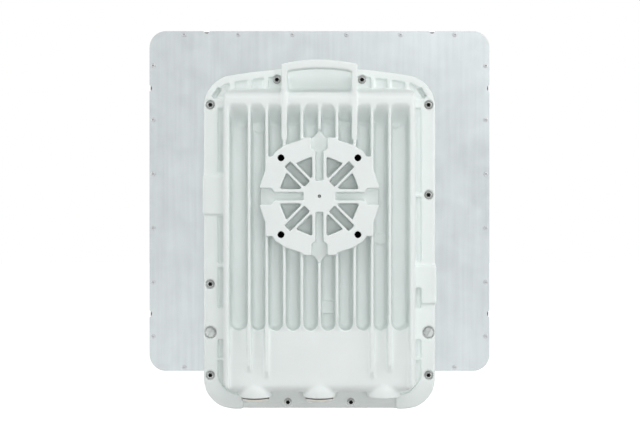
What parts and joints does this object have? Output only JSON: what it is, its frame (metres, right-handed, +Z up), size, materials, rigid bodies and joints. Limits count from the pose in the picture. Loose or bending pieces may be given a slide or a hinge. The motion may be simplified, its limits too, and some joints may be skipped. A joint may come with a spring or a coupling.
{
  "type": "flat-panel radio antenna unit",
  "caption": "Outdoor flat-panel radio unit: square antenna plate with radome in front, finned cast housing with carrying handle, bracket pad and cable ports behind.",
  "frame": {"origin": "centre of the four bracket bolts, on the face of the mounting pad", "axes": "-Y out of the mounting pad towards the bracket, +Y towards the radome and the far station, +Z up, +X right as seen from behind"},
  "size_m": [0.371, 0.081, 0.4101],
  "materials": {
    "powder_coat": "satin white powder coat over a die casting",
    "plate_aluminium": "passivated sheet, faint mottled grain",
    "radome_plastic": "smooth moulded satin",
    "steel": "stainless, dull",
    "rivet_metal": "dull rolled rivet",
    "plug_metal": "nickel-plated, satin",
    "silicone": "matt",
    "nylon": "natural nylon",
    "circuit_board": "solder mask",
    "copper": "etched copper",
    "foam": "closed-cell foam",
    "gold_plate": "gold flash",
    "cable_jacket": "smooth jacket",
    "tin_plate": "bright tin",
    "black_plastic": "moulded",
    "bare_aluminium": "milled",
    "thermal_pad": "soft pad",
    "capacitor_sleeve": "shrink sleeve",
    "ceramic": "glazed ceramic",
    "ribbon": "flat ribbon"
  },
  "bodies": {
    "unit": {"rear_housing": "powder_coat", "housing_gasket": "silicone", "front_casting": "powder_coat", "flange_screws": "steel", "flange_washers": "steel", "antenna_plate": "plate_aluminium", "plate_screws": "steel", "panel_rivets": "rivet_metal", "radome_seal": "silicone", "radome": "radome_plastic", "standoffs": "nylon", "patch_board": "circuit_board", "patch_elements": "copper", "patch_screws": "nylon", "foam_sheet": "foam", "feed_connectors": "gold_plate", "coax_jumper_left": "cable_jacket", "coax_jumper_right": "cable_jacket", "main_board": "circuit_board", "main_board_screws": "steel", "rf_shield_left": "tin_plate", "rf_shield_right": "tin_plate", "processor": "black_plastic", "heat_spreader": "bare_aluminium", "thermal_pads": "thermal_pad", "power_module": "black_plastic", "capacitors": "capacitor_sleeve", "rf_filter": "bare_aluminium", "filter_sockets": "gold_plate", "port_board": "circuit_board", "port_board_screws": "steel", "surge_arrestors": "ceramic", "line_transformers": "black_plastic", "data_socket_left": "tin_plate", "data_socket_middle": "tin_plate", "data_socket_right": "tin_plate", "board_headers": "black_plastic", "link_ribbon": "ribbon"},
    "seal_left": {"plug_seal_left": "silicone"},
    "plug_left": {"blanking_plug_left": "plug_metal"},
    "seal_middle": {"plug_seal_middle": "silicone"},
    "plug_middle": {"blanking_plug_middle": "plug_metal"},
    "washer_left": {"ground_washer_left": "steel"},
    "screw_left": {"ground_screw_left": "steel"},
    "washer_right": {"ground_washer_right": "steel"},
    "screw_right": {"ground_screw_right": "steel"}
  },
  "joints": [
    {"name": "plug_left_lift", "type": "slide", "parent": "unit", "child": "seal_left", "axis": [0, 0, -1], "range_m": [0, 0.0075]},
    {"name": "plug_left_turn", "type": "hinge", "parent": "seal_left", "child": "plug_left", "pos_m": [-0.068, 0.024, -0.212], "axis": [0, 0, -1], "range_deg": [0, 1830]},
    {"name": "plug_middle_lift", "type": "slide", "parent": "unit", "child": "seal_middle", "axis": [0, 0, -1], "range_m": [0, 0.0075]},
    {"name": "plug_middle_turn", "type": "hinge", "parent": "seal_middle", "child": "plug_middle", "pos_m": [0, 0.024, -0.212], "axis": [0, 0, -1], "range_deg": [0, 1830]},
    {"name": "ground_left_lift", "type": "slide", "parent": "unit", "child": "washer_left", "axis": [0, -1, 0], "range_m": [0, 0.004]},
    {"name": "ground_left_turn", "type": "hinge", "parent": "washer_left", "child": "screw_left", "pos_m": [-0.1176, 0.044, -0.1458], "axis": [0, -1, 0], "range_deg": [0, 1830]},
    {"name": "ground_right_lift", "type": "slide", "parent": "unit", "child": "washer_right", "axis": [0, -1, 0], "range_m": [0, 0.004]},
    {"name": "ground_right_turn", "type": "hinge", "parent": "washer_right", "child": "screw_right", "pos_m": [0.1176, 0.044, -0.1458], "axis": [0, -1, 0], "range_deg": [0, 1830]}
  ],
  "couplings": [
    {"joint": "plug_left_turn", "follows": "plug_left_lift", "rad_per_m": 4188.8},
    {"joint": "plug_middle_turn", "follows": "plug_middle_lift", "rad_per_m": 4188.8},
    {"joint": "ground_left_turn", "follows": "ground_left_lift", "rad_per_m": 7854},
    {"joint": "ground_right_turn", "follows": "ground_right_lift", "rad_per_m": 7854}
  ]
}
